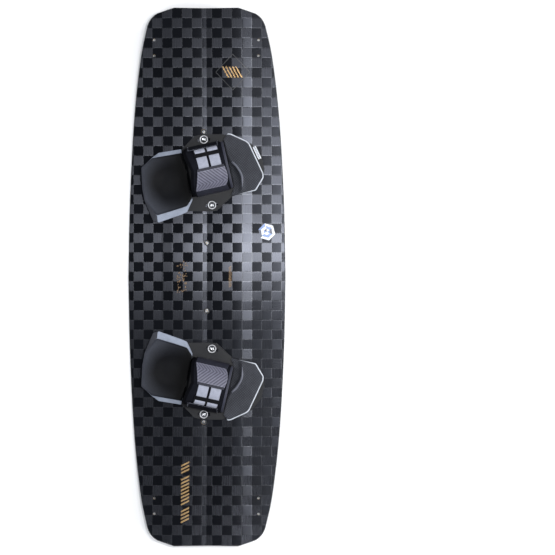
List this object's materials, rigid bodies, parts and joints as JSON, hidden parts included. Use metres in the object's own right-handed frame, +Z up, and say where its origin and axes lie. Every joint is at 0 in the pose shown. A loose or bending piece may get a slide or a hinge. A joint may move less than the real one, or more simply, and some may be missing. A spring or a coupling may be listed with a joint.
{
  "type": "kiteboard",
  "caption": "Twin-tip kiteboard with a concave carbon-skinned deck, curved rocker and adjustable foot bindings with padded straps.",
  "frame": {"origin": "under the middle of the board, on the surface it rests on", "axes": "+Z up out of the deck, +Y along the board to the left foot's tip, +X across to the toe side"},
  "size_m": [0.41, 1.39, 0.1196],
  "materials": {
    "carbon_laminate": "satin clear coat over spread-tow carbon checker",
    "rail_plastic": "satin black",
    "core_wood": "raw",
    "stainless_steel": "satin",
    "plate_plastic": "fine grain",
    "black_foam": "matt moulded foam",
    "ribbed_foam": "fine ribbed",
    "slate_foam": "matt moulded foam",
    "pale_foam": "matt moulded foam",
    "neoprene": "knit faced",
    "twill_fabric": "coated chevron twill",
    "webbing": "woven",
    "black_plastic": "satin",
    "label_fabric": "woven",
    "badge_film": "gloss"
  },
  "bodies": {
    "board": {"top_laminate": "carbon_laminate", "wood_core": "core_wood", "bottom_laminate": "carbon_laminate", "edge_rail": "rail_plastic", "deck_badge": "badge_film", "left_handle_insert": "stainless_steel", "left_outer_insert": "stainless_steel", "left_outer_spare_insert": "stainless_steel", "left_inner_insert": "stainless_steel", "left_inner_spare_insert": "stainless_steel", "left_outer_bolt": "stainless_steel", "left_outer_washer": "stainless_steel", "left_inner_bolt": "stainless_steel", "left_inner_washer": "stainless_steel", "right_handle_insert": "stainless_steel", "right_outer_insert": "stainless_steel", "right_outer_spare_insert": "stainless_steel", "right_inner_insert": "stainless_steel", "right_inner_spare_insert": "stainless_steel", "right_outer_bolt": "stainless_steel", "right_outer_washer": "stainless_steel", "right_inner_bolt": "stainless_steel", "right_inner_washer": "stainless_steel"},
    "left_binding": {"left_base_plate": "plate_plastic", "left_heel_layer": "slate_foam", "left_heel_pad": "black_foam", "left_arch_pad": "black_foam", "left_toe_layer": "pale_foam", "left_toe_pad": "ribbed_foam", "left_strap_lining": "neoprene", "left_strap_inner_panel": "twill_fabric", "left_strap_outer_panel": "neoprene", "left_keeper": "black_plastic", "left_hook_patch": "neoprene", "left_front_webbing_loop": "webbing", "left_rear_webbing_loop": "webbing", "left_inner_anchor_screw": "stainless_steel", "left_outer_anchor_screw": "stainless_steel", "left_label_tab": "label_fabric"},
    "left_cover": {"left_strap_cover": "twill_fabric"},
    "left_front_band": {"left_front_webbing": "webbing"},
    "left_rear_band": {"left_rear_webbing": "webbing"},
    "right_binding": {"right_base_plate": "plate_plastic", "right_heel_layer": "slate_foam", "right_heel_pad": "black_foam", "right_arch_pad": "black_foam", "right_toe_layer": "pale_foam", "right_toe_pad": "ribbed_foam", "right_strap_lining": "neoprene", "right_strap_inner_panel": "twill_fabric", "right_strap_outer_panel": "neoprene", "right_keeper": "black_plastic", "right_hook_patch": "neoprene", "right_front_webbing_loop": "webbing", "right_rear_webbing_loop": "webbing", "right_inner_anchor_screw": "stainless_steel", "right_outer_anchor_screw": "stainless_steel"},
    "right_cover": {"right_strap_cover": "twill_fabric"},
    "right_front_band": {"right_front_webbing": "webbing"},
    "right_rear_band": {"right_rear_webbing": "webbing"}
  },
  "joints": [
    {"name": "left_stance_angle", "type": "hinge", "parent": "board", "child": "left_binding", "pos_m": [0, 0.272, 0.01418], "axis": [0, -0.0312, 0.9995], "range_deg": [-8, 8]},
    {"name": "left_cover_peel", "type": "hinge", "parent": "left_binding", "child": "left_cover", "pos_m": [0.02524, 0.22853, 0.0857], "axis": [0.9649, 0.227, -0.1322], "range_deg": [0, 100]},
    {"name": "left_front_band_tighten", "type": "hinge", "parent": "left_binding", "child": "left_front_band", "pos_m": [0.00839, 0.279, 0.04942], "axis": [0.9649, 0.227, -0.1322], "range_deg": [0, 7]},
    {"name": "left_rear_band_tighten", "type": "hinge", "parent": "left_binding", "child": "left_rear_band", "pos_m": [0.00839, 0.279, 0.04942], "axis": [0.9649, 0.227, -0.1322], "range_deg": [0, 7]},
    {"name": "right_stance_angle", "type": "hinge", "parent": "board", "child": "right_binding", "pos_m": [0, -0.272, 0.01418], "axis": [0, -0.0312, -0.9995], "range_deg": [-8, 8]},
    {"name": "right_cover_peel", "type": "hinge", "parent": "right_binding", "child": "right_cover", "pos_m": [0.02524, -0.22853, 0.0857], "axis": [-0.9649, 0.227, 0.1322], "range_deg": [0, 100]},
    {"name": "right_front_band_tighten", "type": "hinge", "parent": "right_binding", "child": "right_front_band", "pos_m": [0.00839, -0.279, 0.04942], "axis": [-0.9649, 0.227, 0.1322], "range_deg": [0, 7]},
    {"name": "right_rear_band_tighten", "type": "hinge", "parent": "right_binding", "child": "right_rear_band", "pos_m": [0.00839, -0.279, 0.04942], "axis": [-0.9649, 0.227, 0.1322], "range_deg": [0, 7]}
  ]
}
